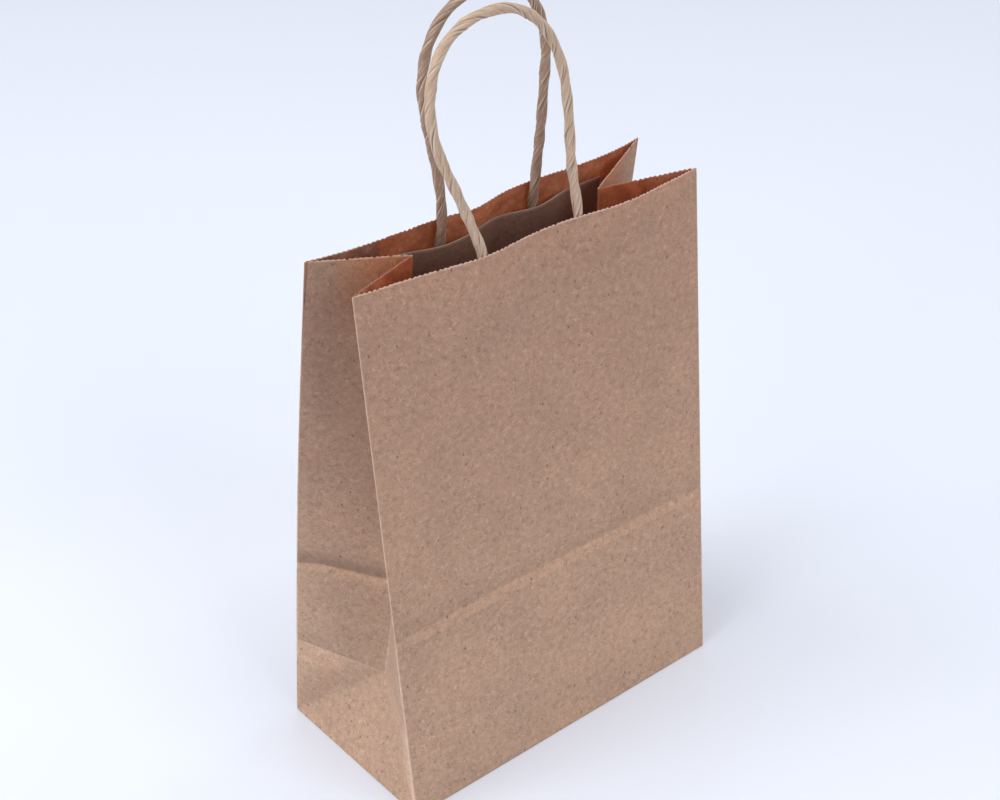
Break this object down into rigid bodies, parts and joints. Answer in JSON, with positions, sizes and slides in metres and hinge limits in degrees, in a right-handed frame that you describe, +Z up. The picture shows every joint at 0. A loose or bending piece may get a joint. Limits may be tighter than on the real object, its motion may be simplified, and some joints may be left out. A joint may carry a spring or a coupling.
{
  "type": "kraft paper carrier bag",
  "caption": "Open kraft paper carrier bag with folded gussets, a serrated top edge and twisted paper cord handles held by inner patches.",
  "frame": {"origin": "middle of the base, on the surface that the bag stands on", "axes": "+Z up out of the mouth, +X along the wide panels to the right seen from the front, -Y out of the front panel"},
  "size_m": [0.2, 0.1002, 0.3891],
  "materials": {
    "sheet_paper": "matt unbleached kraft",
    "patch_paper": "matt unbleached kraft",
    "cord_paper": "twisted kraft"
  },
  "bodies": {
    "root": {"folded_sheet": "sheet_paper", "front_handle_patch": "patch_paper", "back_handle_patch": "patch_paper", "front_handle": "cord_paper", "back_handle": "cord_paper"}
  },
  "joints": []
}
